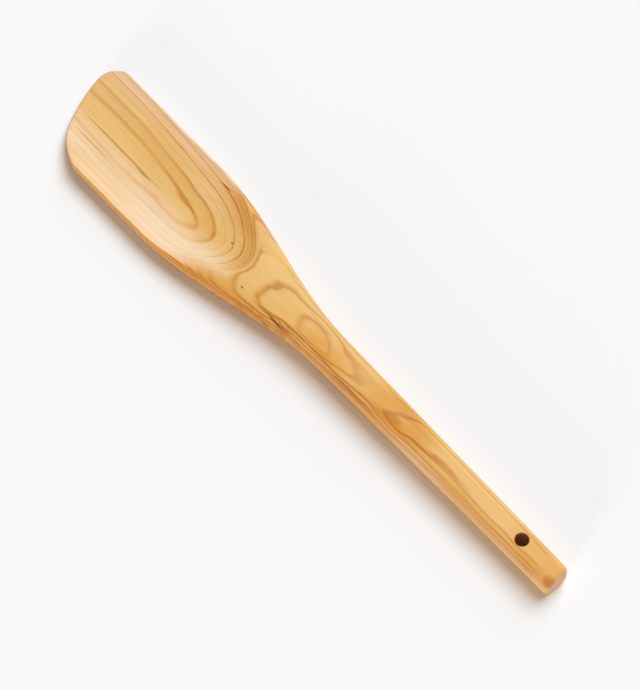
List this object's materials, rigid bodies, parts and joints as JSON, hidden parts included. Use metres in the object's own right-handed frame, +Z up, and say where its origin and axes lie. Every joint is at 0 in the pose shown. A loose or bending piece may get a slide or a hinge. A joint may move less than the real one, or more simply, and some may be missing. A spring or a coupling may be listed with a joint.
{
  "type": "wooden pot scoop",
  "caption": "One-piece wooden pot scoop: straight rounded handle with a hanging hole, waisted neck, and a hollowed blade with a slanted front edge for scooping and scraping pots.",
  "frame": {"origin": "bottom centre of the scoop's box, on the table that it lies on with its hollow upwards", "axes": "+X along the stick from the butt end to the blade, +Y to the left seen from the handle, +Z up"},
  "size_m": [0.324, 0.0504, 0.0163],
  "materials": {
    "oiled_wood": "sanded smooth and oiled, satin"
  },
  "bodies": {
    "root": {"scoop": "oiled_wood"}
  },
  "joints": []
}
